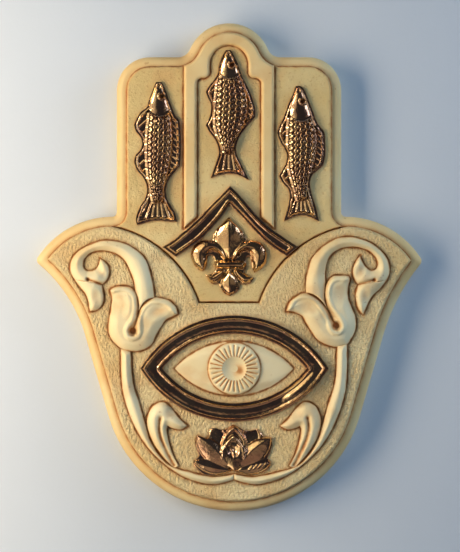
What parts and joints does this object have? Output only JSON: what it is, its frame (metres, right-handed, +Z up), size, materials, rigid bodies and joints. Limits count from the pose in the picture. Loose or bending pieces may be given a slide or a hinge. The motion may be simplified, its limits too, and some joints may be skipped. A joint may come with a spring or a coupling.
{
  "type": "hamsa wall plaque",
  "caption": "Hand-shaped ceramic wall plaque with fish, eye, lotus and scroll relief in cream clay and bronze lustre, hung from a wire bail in its back",
  "frame": {"origin": "middle of the hand's height and of its fingers' width, on the flat face against the wall", "axes": "+X to the right as seen from the front, +Y out of the back into the wall, +Z up along the fingers"},
  "size_m": [0.1622, 0.0156, 0.2056],
  "materials": {
    "clay": "matte cream clay with brown stain rubbed into the grooves",
    "lustre": "mirror-like dark bronze and gold lustre glaze",
    "wire": "plain bent brass wire"
  },
  "bodies": {
    "plaque": {"hand_slab": "clay", "finger_panel": "clay", "palm_panel": "clay", "finger_arch": "clay", "eye_white": "clay", "iris": "clay", "left_scroll": "clay", "right_scroll": "clay", "left_scroll_leaf": "clay", "right_scroll_leaf": "clay", "left_lily": "clay", "right_lily": "clay", "left_stem": "clay", "right_stem": "clay", "left_leaf": "clay", "right_leaf": "clay", "left_lug": "clay", "right_lug": "clay", "chevron": "lustre", "fleur_de_lis": "lustre", "left_fish": "lustre", "middle_fish": "lustre", "right_fish": "lustre", "eye_frame": "lustre", "lotus": "lustre"},
    "hanger": {"bail": "wire"}
  },
  "joints": [
    {"name": "bail_swing", "type": "hinge", "parent": "plaque", "child": "hanger", "pos_m": [0, -0.0028, 0.054], "axis": [1, 0, 0], "range_deg": [0, 180]}
  ]
}
